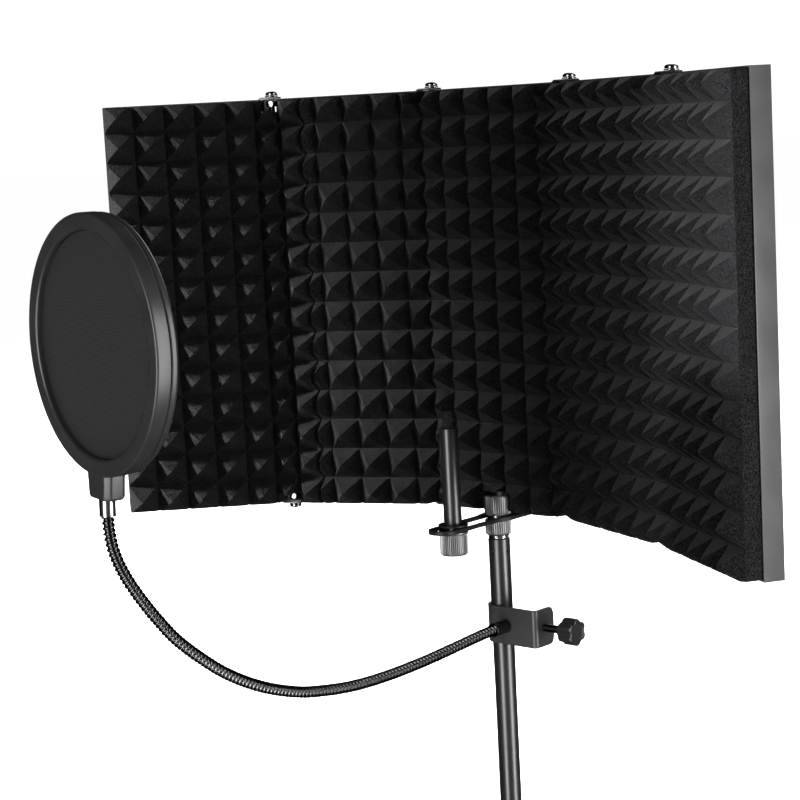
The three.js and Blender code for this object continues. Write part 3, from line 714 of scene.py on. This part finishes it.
def hex_nut(node, along):
    """A hexagon nut with chamfered corners on both faces."""
    height, lay = along_node(node, along)
    angles = np.linspace(0, 2 * math.pi, 48, endpoint=False)
    flat, bore = 4 * MM, 2.45 * MM
    hexagon = flat / np.cos((angles + math.pi / 6) % (math.pi / 3) - math.pi / 6)
    rings = []
    for z, limit in ((0, 4.1), (0.5, 4.65), (height / MM - 0.5, 4.65), (height / MM, 4.1)):
        radius = np.minimum(hexagon, limit * MM)
        rings.append([(r * math.cos(a), r * math.sin(a), z * MM) for r, a in zip(radius, angles)])
    for z in (height, 0):
        rings.append([(bore * math.cos(a), bore * math.sin(a), z) for a in angles])
    add_fastener(node, moved(skin(rings, looped=True), lay))


def fasteners():
    for node in frame["nodes"]:
        up = (0, 0, 1 if node.endswith("_top") else -1)
        if node.startswith("hinge_screw"):
            screw(node, up)
        elif node.startswith("hinge_nut"):
            hex_nut(node, (0, 0, 1))
        elif node.startswith("hinge_washer"):
            add_fastener(node, flat_ring(node, 2.6 * MM, 0.25 * MM, 48))
        elif node.startswith("bracket_screw"):
            screw(node, (0, 1, 0))
        elif node.startswith("bracket_nut"):
            hex_nut(node, (0, 1, 0))


# ---------- bracket
def outline_plate(name, outer, holes, thickness, ease):
    """A flat plate in X and Y from its outline and holes, with eased edges."""
    curve = bpy.data.curves.new(name, "CURVE")
    curve.dimensions = "2D"
    curve.fill_mode = "BOTH"
    curve.extrude = thickness / 2 - ease
    curve.bevel_depth = ease
    curve.bevel_resolution = 2
    curve.offset = -ease
    for line in (outer, *holes):
        spline = curve.splines.new("POLY")
        spline.points.add(len(line) - 1)
        for point, place in zip(spline.points, line):
            point.co = (place[0], place[1], 0, 1)
        spline.use_cyclic_u = True
    scrap = bpy.data.objects.new(name, curve)
    bpy.context.scene.collection.objects.link(scrap)
    mesh = final_mesh(scrap)
    bpy.data.objects.remove(scrap)
    shell = bmesh.new()
    shell.from_mesh(mesh)
    bmesh.ops.remove_doubles(shell, verts=shell.verts, dist=1e-6)
    solid = [v.co.copy() for v in shell.verts], [[v.index for v in f.verts] for f in shell.faces]
    shell.free()
    bpy.data.meshes.remove(mesh)
    return solid


def arc(x, y, radius, start, end, steps=24):
    angles = np.radians(np.linspace(start, end, steps + 1))
    return [(x + radius * math.cos(a), y + radius * math.sin(a)) for a in angles]


def bracket():
    low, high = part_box("bracket")
    thick, half, wide = 3 * MM, 11 * MM, 14 * MM
    tip, slot = -61 * MM, 8.1 * MM
    plate = arc(0, tip, half, 180, 360) + rounded(
        [(half, -20 * MM), (half, -12 * MM), (wide, -2 * MM), (wide, high.y - thick)], 3 * MM, closed=False)
    plate += rounded([(-wide, high.y - thick), (-wide, -2 * MM), (-half, -12 * MM), (-half, -20 * MM)],
                     3 * MM, closed=False)
    gap = arc(0, 0, slot, 0, 180) + arc(0, tip, slot, 180, 360)
    bar = outline_plate("bar", plate, [gap], thick, 0.4 * MM)
    bar = moved(bar, shift((0, 0, low.z + thick / 2)))
    leg_outline = [(-wide, low.z + thick), (wide, low.z + thick)]
    leg_outline += arc(wide - 6 * MM, high.z - 6 * MM, 6 * MM, 0, 90, 8)
    leg_outline += arc(6 * MM - wide, high.z - 6 * MM, 6 * MM, 90, 180, 8)
    leg = outline_plate("leg", leg_outline, [], thick, 0.4 * MM)
    stand_up = shift((0, high.y - thick / 2, 0)) @ spin(math.pi / 2, "X")
    front, over = high.y - thick - 0.5 * MM, low.z + thick + 0.5 * MM
    bend, inner_bend = 2.6 * MM, 0.3 * MM
    section = rounded([(front, low.z), (high.y, low.z), (high.y, over), (high.y - thick, over),
                       (high.y - thick, low.z + thick), (front, low.z + thick)],
                      [0, bend, 0, 0, inner_bend, 0])
    elbow = [[(x, p.x, p.y) for p in section] for x in (-wide, wide)]
    solid = joined(bar, moved(leg, stand_up), skin(elbow))
    add("bracket", "bent", solid, "bracket_black", "bar_black")


# ---------- pop filter clamp
def clamp_jaw():
    """Sheet bent round the tube, along its front and back as the screw's flange."""
    low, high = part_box("clamp_jaw")
    middle = (low.z + high.z) / 2
    half = (high.z - low.z) / 2
    sheet = 2 * MM
    hook = -low.y - sheet / 2
    side = high.x - sheet / 2
    bend = 2.5 * MM
    lip = arc(0, 0, hook, 140, 270, 30)
    corner = arc(side - bend, bend - hook, bend, 270, 360, 10)
    line = dense(lip + corner + [(side, high.y)], 1.2 * MM)
    lengths = np.cumsum([0] + [(b - a).length for a, b in zip(line, line[1:])])
    rings = []
    for i, point in enumerate(line):
        along = (line[min(i + 1, len(line) - 1)] - line[max(i - 1, 0)]).normalized()
        across = Vector((along.y, -along.x))
        left = min(lengths[i], lengths[-1] - lengths[i])
        short = max(0.0, CLAMP_CORNER - left)
        height = half - (CLAMP_CORNER - math.sqrt(max(0.0, CLAMP_CORNER ** 2 - short ** 2)))
        section = flat_section(-sheet / 2, sheet / 2, -height, height, 0.5 * MM, 3)
        rings.append([(point.x + across.x * p.x, point.y + across.y * p.x, middle + p.y) for p in section])
    add("clamp_jaw", "bent", skin(rings))


def clamp_pad():
    low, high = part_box("clamp_pad")
    profile = rounded([(0.5 * MM, low.x), (5 * MM, low.x), (5 * MM, high.x), (0.5 * MM, high.x)], 0.5 * MM,
                      closed=False)
    add("clamp_pad", "turned", moved(turned(profile, 48), lying_along_x("clamp_pad")))


def clamp_screw():
    low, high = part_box("clamp_screw")
    solid = threaded(3 * MM, THREAD_PITCH["clamp_screw"], low.x, high.x)
    add("clamp_screw", "threaded", moved(solid, lying_along_x("clamp_screw")), "ferrule_dark")


def clamp_knob():
    low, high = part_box("clamp_knob")
    outer = (high.y - low.y) / 2
    hub = 6.2 * MM
    rim, face = high.x - 0.3 * MM, high.x - 1 * MM
    corners = [(2 * MM, low.x), (hub, low.x), (hub, low.x + 2 * MM), (outer, low.x + 3 * MM),
               (outer, rim), (outer - 3 * MM, rim), (outer - 3.4 * MM, face), (1 * MM, face)]
    radii = [0, 0.5 * MM, 0.8 * MM, 1.2 * MM, 1.5 * MM, 0.3 * MM, 0.3 * MM, 0]
    profile = rounded(corners, radii, 5, closed=False)

    def carve(radius, angle, z):
        lobes = np.abs(np.sin(3 * angle)) ** 3
        deep = np.clip((radius - hub) / (outer - hub), 0, 1)
        return radius - 2.0 * MM * lobes * deep, z
    solid = turned(dense(profile, 1 * MM), 144, carve=carve)
    add("clamp_knob", "moulded", moved(solid, lying_along_x("clamp_knob")))


# ---------- gooseneck
def ferrule_solid(length, radius, bead):
    """A sleeve from z = 0 with a raised bead at its far end."""
    profile = rounded([(1 * MM, 0), (radius, 0), (radius, length - bead), (radius + 0.15 * MM, length - bead),
                       (radius + 0.15 * MM, length), (4.1 * MM, length), (4.1 * MM, length - 2 * MM),
                       (1 * MM, length - 2 * MM)], 0.25 * MM, 3, closed=False)
    return turned(profile, 56)


def lower_ferrule():
    low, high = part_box("clamp_ferrule")
    place = centre("clamp_ferrule")
    lie = shift((place.x, high.y, place.z)) @ spin(math.pi / 2, "X")
    solid = moved(ferrule_solid(high.y - low.y, 4.95 * MM, 1.2 * MM), lie)
    add("clamp_ferrule", "turned", solid)


def spline(points, per_span=24):
    """Centripetal Catmull-Rom line through the points."""
    given = [np.array(p, float) * MM for p in points]
    line = [2 * given[0] - given[1], *given, 2 * given[-1] - given[-2]]
    out = []
    for p0, p1, p2, p3 in zip(line, line[1:], line[2:], line[3:]):
        t0, t1, t2 = (np.linalg.norm(b - a) ** 0.5 for a, b in ((p0, p1), (p1, p2), (p2, p3)))
        m1 = ((p1 - p0) / t0 - (p2 - p0) / (t0 + t1) + (p2 - p1) / t1) * t1
        m2 = ((p2 - p1) / t1 - (p3 - p1) / (t1 + t2) + (p3 - p2) / t2) * t1
        for k in range(per_span):
            t = k / per_span
            out.append(p1 * (2 * t ** 3 - 3 * t ** 2 + 1) + m1 * (t ** 3 - 2 * t ** 2 + t)
                       + p2 * (3 * t ** 2 - 2 * t ** 3) + m2 * (t ** 3 - t ** 2))
    out.append(given[-1])
    return np.array(out)


class Route:
    """The gooseneck's centreline by length, with frames that don't twist."""

    def __init__(self, points):
        self.points = spline(points)
        steps = np.linalg.norm(np.diff(self.points, axis=0), axis=1)
        self.lengths = np.concatenate([[0], np.cumsum(steps)])
        self.total = self.lengths[-1]

    def at(self, length):
        return np.array([np.interp(length, self.lengths, self.points[:, i]) for i in range(3)])

    def frames(self, lengths):
        side = np.array([1.0, 0, 0])
        for length in lengths:
            ahead = self.at(min(length + MM, self.total)) - self.at(max(length - MM, 0))
            ahead /= np.linalg.norm(ahead)
            side = side - ahead * (side @ ahead)
            side /= np.linalg.norm(side)
            yield self.at(length), side, np.cross(ahead, side)


def wound_wires(turn):
    """How high a wound tube stands across one turn: a round wire, and a lower one in its groove."""
    round_wire = np.sqrt(np.clip(1 - ((turn - 0.5) / ROUND_WIRE) ** 2, 0, 1))
    low_wire = LOW_WIRE_HEIGHT * np.clip(1 - np.minimum(turn, 1 - turn) / LOW_WIRE, 0, 1)
    return np.maximum(round_wire, low_wire)


def gooseneck():
    """Wound steel in three stretches, each round one joint."""
    route = Route(GOOSE_ROUTE)
    joints = ("gooseneck_swing", "gooseneck_lift", "gooseneck_tilt")
    bends = []
    for name in joints:
        pivot = np.array(JOINTS[name]["pos_m"])
        nearest = np.argmin(np.linalg.norm(route.points - pivot, axis=1))
        bends.append(route.lengths[nearest])
    ends = [0, (bends[0] + bends[1]) / 2, (bends[1] + bends[2]) / 2, route.total]
    nodes = (("gooseneck_1",), ("gooseneck_2", "gooseneck_3"), ("gooseneck_4",))
    angles = np.linspace(0, 2 * math.pi, 24, endpoint=False)
    step = GOOSE_PITCH / 14
    for i, name in enumerate(joints):
        lengths = np.arange(round(ends[i] / step), round(ends[i + 1] / step) + 1) * step
        rings = []
        for length, (place, side, up) in zip(lengths, route.frames(lengths)):
            turn = (length / GOOSE_PITCH - angles / (2 * math.pi)) % 1
            radius = GOOSE_RADIUS - GOOSE_GROOVE * (1 - wound_wires(turn))
            rings.append([place + side * r * math.cos(a) + up * r * math.sin(a)
                          for r, a in zip(radius, angles)])
        stretch = make_object(f"gooseneck_wound_{i + 1}", *skin(rings), crease=80)
        route.at(bends[i] - GOOSE_ZONE)
        route.at(bends[i] + GOOSE_ZONE)
        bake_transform(stretch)
        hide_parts(*nodes[i])
        finish_as(stretch, "gooseneck_chrome")


# ---------- pop filter
def pop_filter_frame():
    """Where the hoop stands: X across it, Y through it towards the shield, Z up."""
    front, rear = centre("pop_mesh_front"), centre("pop_mesh_rear")
    middle = (front + rear) / 2
    through = (rear - front).normalized()
    up = middle - centre("pop_ferrule")
    up = (up - through * up.dot(through)).normalized()
    across = through.cross(up)
    turn = Matrix((across, through, up)).transposed().to_4x4()
    return shift(middle) @ turn


def hoop(profile):
    """A ring about the hoop's Y from (radius, y) pairs."""
    lay = spin(-math.pi / 2, "X")
    return moved(turned(profile, 200, looped=True), lay)


def pop_filter():
    place = pop_filter_frame()
    outer, inner = 77.5 * MM, 67.1 * MM
    front, split, rear = -7.5 * MM, 2.3 * MM, 7.5 * MM
    front_profile = rounded(
        [(inner, front + 1.2 * MM), (inner + 1.2 * MM, front), (outer - 1.0 * MM, front),
         (outer, front + 1.0 * MM), (outer, split - 0.5 * MM), (outer - 0.7 * MM, split),
         (inner, split)], 0.7 * MM)
    neck = neck_solid(front, rear, outer)
    front_hoop = joined(hoop(front_profile), neck)
    add("pop_hoop_front", "moulded", moved(front_hoop, place))
    small = outer - 0.4 * MM
    rear_profile = rounded(
        [(inner, split + 0.3 * MM), (small - 0.7 * MM, split + 0.3 * MM), (small, split + 0.8 * MM),
         (small, rear - 1.4 * MM), (small - 1.2 * MM, rear), (inner + 1 * MM, rear),
         (inner, rear - 1 * MM)], 0.7 * MM)
    add("pop_hoop_rear", "moulded", moved(hoop(rear_profile), place))
    for name, y in (("front", front + 3.8 * MM), ("rear", rear - 3.8 * MM)):
        mesh_disc(name, place, inner - 0.3 * MM, y)
    ferrule = ferrule_solid(10.6 * MM, 4.95 * MM, 1 * MM)
    hang = shift((0, 0, -outer - 14.3 * MM)) @ spin(math.pi, "X")
    add("pop_ferrule", "turned", moved(ferrule, place @ hang))


def neck_solid(front, rear, outer):
    """The block under the hoop that holds the gooseneck's sleeve, with bevelled sides."""
    rings = []
    bottom, top = -outer - 14 * MM, -outer + 3.5 * MM
    levels = [(bottom, 1.0), (bottom + 0.6 * MM, 0.3), (bottom + 2 * MM, 0.0), (top, 0.0)]
    for z, inset in levels:
        half = 12 * MM + 1.5 * MM * (z - bottom) / (top - bottom) - inset * MM
        y0, y1 = front + 0.3 * MM + inset * MM, rear - 0.5 * MM - inset * MM
        a, b = 3.5 * MM, 2.5 * MM
        corners = [(-half, y0 + a), (-half + a, y0), (half - a, y0), (half, y0 + a),
                   (half, y1 - b), (half - b, y1), (-half + b, y1), (-half, y1 - b)]
        rings.append([(p.x, p.y, z) for p in rounded(corners, 0.9 * MM, 3)])
    return skin(rings)


def mesh_disc(name, place, radius, y):
    """Nylon mesh stretched in its hoop: flat, a little slack in the middle."""
    rings = []
    for share in np.linspace(0.02, 1, 24):
        sag = 0.5 * MM * (1 - share ** 2) * (-1 if name == "front" else 1)
        angles = np.linspace(0, 2 * math.pi, 96, endpoint=False)
        rings.append([(share * radius * math.cos(a), y + sag, share * radius * math.sin(a)) for a in angles])
    cloth = make_object(f"pop_mesh_{name}_woven", *moved(skin(rings, capped=False), place))
    centre_hole = bmesh.new()
    centre_hole.from_mesh(cloth.data)
    bmesh.ops.holes_fill(centre_hole, edges=[e for e in centre_hole.edges if e.is_boundary
                                             and e.calc_length() < 0.5 * MM], sides=0)
    centre_hole.to_mesh(cloth.data)
    centre_hole.free()
    stand_in(cloth, f"pop_mesh_{name}")


# ---------- shield
class Panel:
    """A panel's place: its left hinge axis, or its left end, and the way it runs."""

    def __init__(self, start, heading):
        self.start = Vector(start)
        self.heading = heading

    def matrix(self):
        turn = spin(self.heading, "Z")
        return shift((self.start.x, self.start.y, PANEL_LEVEL)) @ turn


def hinge(name):
    """A hinge's place, and how far it is folded at rest: its lower limit is flat."""
    joint = JOINTS["fold_" + name]
    return Vector(joint["pos_m"][:2]), -math.radians(joint["range_deg"][0])


def lay_out_panels():
    """The five panels from left to right."""
    axes, folds = zip(*(hinge(name) for name in HINGES))
    first = folds[1] + folds[0]
    end = axes[0] - PANEL_PITCH * Vector((math.cos(first), math.sin(first)))
    headings = (first, folds[1], 0, -folds[2], -folds[2] - folds[3])
    return [Panel(start, heading) for start, heading in zip((end, *axes), headings)]


def ear(stations, upside_down):
    """A flange's end from (x, half width, height) stations."""
    rings = []
    for x, half, z in stations:
        half = max(half, 0.3 * MM)
        section = flat_section(-half, half, z, z + SHEET, 0.25 * MM, 2)
        if upside_down:
            section = [Vector((p.x, PANEL_HEIGHT - p.y)) for p in section]
        rings.append([(x, p.x, p.y) for p in section])
    return skin(rings)


def left_ear(upside_down):
    level = PANEL_HEIGHT - SHEET
    angles = np.radians(np.linspace(180, 90, 13))
    stations = [(FLANGE * math.cos(a), FLANGE * math.sin(a), level) for a in angles]
    return ear(stations + [(PANEL_GAP, FLANGE, level)], upside_down)


def right_ear(upside_down):
    level = PANEL_HEIGHT - SHEET
    start = PANEL_PITCH - JOGGLE_START
    stations = []
    for t in np.linspace(0, 1, 7):
        stations.append((start + t * JOGGLE_RUN, FLANGE, level + JOGGLE * t * t * (3 - 2 * t)))
    angles = np.radians(np.linspace(90, 0, 13))
    stations += [(PANEL_PITCH + FLANGE * math.cos(a), FLANGE * math.sin(a), level + JOGGLE) for a in angles]
    return ear(stations, upside_down)


def perforations(left, right):
    """Round holes in rows and columns across the back."""
    columns = int((right - left - 12 * MM) / HOLE_PITCH)
    rows = int((PANEL_HEIGHT - 16 * MM) / HOLE_PITCH)
    x0 = (left + right - (columns - 1) * HOLE_PITCH) / 2
    z0 = (PANEL_HEIGHT - (rows - 1) * HOLE_PITCH) / 2
    stand = spin(-math.pi / 2, "X")
    drill = moved(turned([(HOLE_RADIUS, 4 * MM), (HOLE_RADIUS, 9 * MM)], 14), stand)
    tools = []
    for i in range(columns):
        for k in range(rows):
            tools.append(moved(drill, shift((x0 + i * HOLE_PITCH, 0, z0 + k * HOLE_PITCH))))
    return tools


def tray_section():
    """The tray from its side: flange, back and flange, with bent corners."""
    h, f, s = PANEL_HEIGHT, FLANGE, SHEET
    corners = [(-f, 0), (f, 0), (f, h), (-f, h), (-f, h - s), (f - s, h - s), (f - s, s), (-f, s)]
    bend, inner, rim = 2.2 * MM, 1.0 * MM, 0.3 * MM
    return rounded(corners, [rim, bend, bend, rim, rim, inner, inner, rim])


def panels():
    places = lay_out_panels()
    for i, place in enumerate(places):
        left_free, right_free = i == 0, i == len(places) - 1
        left = SHEET if left_free else PANEL_GAP
        right = PANEL_PITCH - (SHEET if right_free else JOGGLE_START)
        section = tray_section()
        channel = skin([[(x, p.x, p.y) for p in section] for x in (left, right)])
        mesh = cut_away("tray", channel, perforations(left, right))
        tray = [v.co.copy() for v in mesh.vertices], [list(p.vertices) for p in mesh.polygons]
        extras = []
        for upside_down in (False, True):
            if not left_free:
                extras.append(left_ear(upside_down))
            if not right_free:
                extras.append(right_ear(upside_down))
        if left_free:
            extras.append(rounded_box((0, -FLANGE, 0), (SHEET, FLANGE, PANEL_HEIGHT), 0.45 * MM))
        if right_free:
            extras.append(rounded_box((right, -FLANGE, 0), (PANEL_PITCH, FLANGE, PANEL_HEIGHT), 0.45 * MM))
        else:
            corner = (PANEL_PITCH - PANEL_GAP, FLANGE, PANEL_HEIGHT)
            extras.append(rounded_box((right, FLANGE - SHEET, 0), corner, 0.3 * MM))
        add(f"panel_{i + 1}", "tray", moved(joined(tray, *extras), place.matrix()), crease=30)


# ---------- foam lining
def pyramids(start, end, origin, pitch):
    """Mesh places from start to end, with each one's share of the way up a pyramid."""
    step = pitch / FOAM_STEPS
    first = math.floor((start - origin) / step + 1.2)
    last = math.ceil((end - origin) / step - 1.2)
    places = np.array([start, *(origin + k * step for k in range(first, last + 1)), end])
    return places, 1 - np.abs(2 * (((places - origin) / pitch) % 1) - 1)


def soften(share):
    """Eases the pyramids' tips and the valleys between them."""
    return share - 0.06 * np.exp(-(1 - share) * 14) + 0.045 * np.exp(-share * 14)


def foam_front(columns, column_share, levels, level_share, seed):
    """How far the lining stands in front of the hinge line, over a grid of places."""
    height = PYRAMID * soften(np.minimum(column_share[:, None], level_share[None, :]))
    front = FOAM_BASE - FOAM_BACK + height
    for i, u in enumerate(columns):
        for k, z in enumerate(levels):
            rough = noise.noise(Vector((u * 160, z * 160, seed)))
            fine = noise.noise(Vector((u * 600, z * 600, seed + 7)))
            front[i, k] += 0.35 * MM * rough + 0.12 * MM * fine
    return front


def foam_strip_solid(columns, column_share, hinge_at, seed):
    """A stretch of lining laid flat: x from the hinge, y in front of it negative."""
    lowest_valley = LOWEST_TIPS - FOAM_PITCH / 2
    levels, level_share = pyramids(FOAM_EDGE, PANEL_HEIGHT - FOAM_EDGE, lowest_valley, FOAM_PITCH)
    front = foam_front(columns, column_share, levels, level_share, seed)
    x = columns - hinge_at
    count, tall = len(x), len(levels)
    points = [(x[i], -front[i, k], levels[k]) for i in range(count) for k in range(tall)]
    faces = []
    for i in range(count - 1):
        rising = column_share[i + 1] > column_share[i]
        for k in range(tall - 1):
            a, b = i * tall + k, (i + 1) * tall + k
            if rising == (level_share[k + 1] > level_share[k]):
                faces += [(a, b, b + 1), (a, b + 1, a + 1)]
            else:
                faces += [(a, b, a + 1), (b, b + 1, a + 1)]
    base = len(points)
    for i in range(count):
        hollow = 3 * MM * math.exp(-(x[i] / (14 * MM)) ** 2)
        points += [(x[i], FOAM_BACK - hollow, levels[0]), (x[i], FOAM_BACK - hollow, levels[-1])]
    for i in range(count - 1):
        low, high = i * tall, i * tall + tall - 1
        back = base + 2 * i
        faces += [(low, back, back + 2, low + tall), (high, high + tall, back + 3, back + 1),
                  (back, back + 1, back + 3, back + 2)]
    for i in (0, count - 1):
        back = base + 2 * i
        faces.append((*range(i * tall, (i + 1) * tall), back + 1, back))
    return points, faces


def notch_tools():
    """Cut-outs in the lining's edges, wider towards the front, that leave the hinge nuts in sight."""
    tools = []
    for flip in (False, True):
        rings = []
        for section in NOTCH_SECTIONS:
            y, wide, deep = (size * MM for size in section)
            outline = [(-wide, PANEL_HEIGHT + MM), (-wide, PANEL_HEIGHT - deep),
                       (wide, PANEL_HEIGHT - deep), (wide, PANEL_HEIGHT + MM)]
            line = rounded(outline, [0, 4 * MM, 4 * MM, 0], 6)
            rings.append([(p.x, y, PANEL_HEIGHT - p.y if flip else p.y) for p in line])
        tools.append(skin(rings))
    return tools


def nut_room(hinge_to_middle):
    """The cut-out round the stand's upper nut, wider towards the front."""
    plan = arc(0, 0, 11.5 * MM, 0, 180) + [(-32 * MM, -20 * MM), (32 * MM, -20 * MM)]
    rings = [[(x, y, z) for x, y in plan] for z in (-2 * MM, 16.5 * MM)]
    return moved(skin(rings), shift((hinge_to_middle, -23 * MM, 0)))


def bend_round_hinge(points, fold):
    """Turns flat lining about the hinge, more and more across its zone."""
    flat = np.array(points, float)
    t = np.clip((flat[:, 0] + HINGE_ZONE) / (2 * HINGE_ZONE), 0, 1)
    angle = -fold * t * t * (3 - 2 * t)
    cos, sin = np.cos(angle), np.sin(angle)
    bent = flat.copy()
    bent[:, 0] = flat[:, 0] * cos - flat[:, 1] * sin
    bent[:, 1] = flat[:, 0] * sin + flat[:, 1] * cos
    return bent


def foam_lining():
    """Four stretches, each across one hinge, that meet in the valleys between pyramids."""
    places = lay_out_panels()
    right_end = 5 * PANEL_PITCH - FOAM_END
    valleys = [right_end - count * FOAM_PITCH for count in COLUMNS_TO_END]
    starts = [FOAM_SEAM, *valleys]
    stretches = [(FOAM_END, FOAM_SEAM - SEAM_GAP, 0, FOAM_SEAM / COLUMNS_BEFORE_SEAM)]
    for start, end in zip(starts, starts[1:] + [right_end]):
        stretches.append((start, end, right_end, FOAM_PITCH))
    for i, name in enumerate(HINGES):
        part, share = pyramids(*stretches[i])
        hinge_at = (i + 1) * PANEL_PITCH
        tools = notch_tools()
        if name == "left_inner":
            tools.append(nut_room(PANEL_PITCH / 2))
        if name == "right_inner":
            tools.append(nut_room(-PANEL_PITCH / 2))
        mesh = cut_away("lining", foam_strip_solid(part, share, hinge_at, i), tools)
        _, fold = hinge(name)
        bent = bend_round_hinge([v.co for v in mesh.vertices], fold)
        mesh.vertices.foreach_set("co", bent.astype(np.float32).ravel())
        panel = places[i].matrix() @ shift((PANEL_PITCH, 0, 0))
        mesh.transform(panel)
        strip = show_mesh(f"foam_lining_{i + 1}", mesh, crease=28)
        joint = JOINTS["fold_" + name]
        bodies = [joint["parent"], joint["child"]]
        if name.startswith("left"):
            bodies.reverse()
        depth = -12 * MM
        start = panel @ Vector((-HINGE_ZONE, depth, 0))
        end = panel @ spin(-fold, "Z") @ Vector((HINGE_ZONE, depth, 0))
        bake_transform(strip)
        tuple(start)
        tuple(end)
        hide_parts(f"foam_{i + 1}", f"foam_{i + 2}")
        finish_as(strip, "foam_charcoal")


# ---------- scene
make_camera()
MATERIALS = make_materials()
make_stage()

stand_tube()
stand_stud()
knurled_nut("stand_nut_upper", 7.9 * MM, 42, chamfer_up=True)
knurled_nut("stand_nut_lower", 7.9 * MM, 42)
mic_post()
mic_post_washer()
knurled_nut("mic_post_nut", 5.05 * MM, 50)
fasteners()
bracket()
clamp_jaw()
clamp_pad()
clamp_screw()
clamp_knob()
lower_ferrule()
gooseneck()
pop_filter()
panels()
foam_lining()

make_lights()

LOOKS_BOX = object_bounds()
[[list(corner) for corner in box] for box in (CAD_BOX, LOOKS_BOX)]
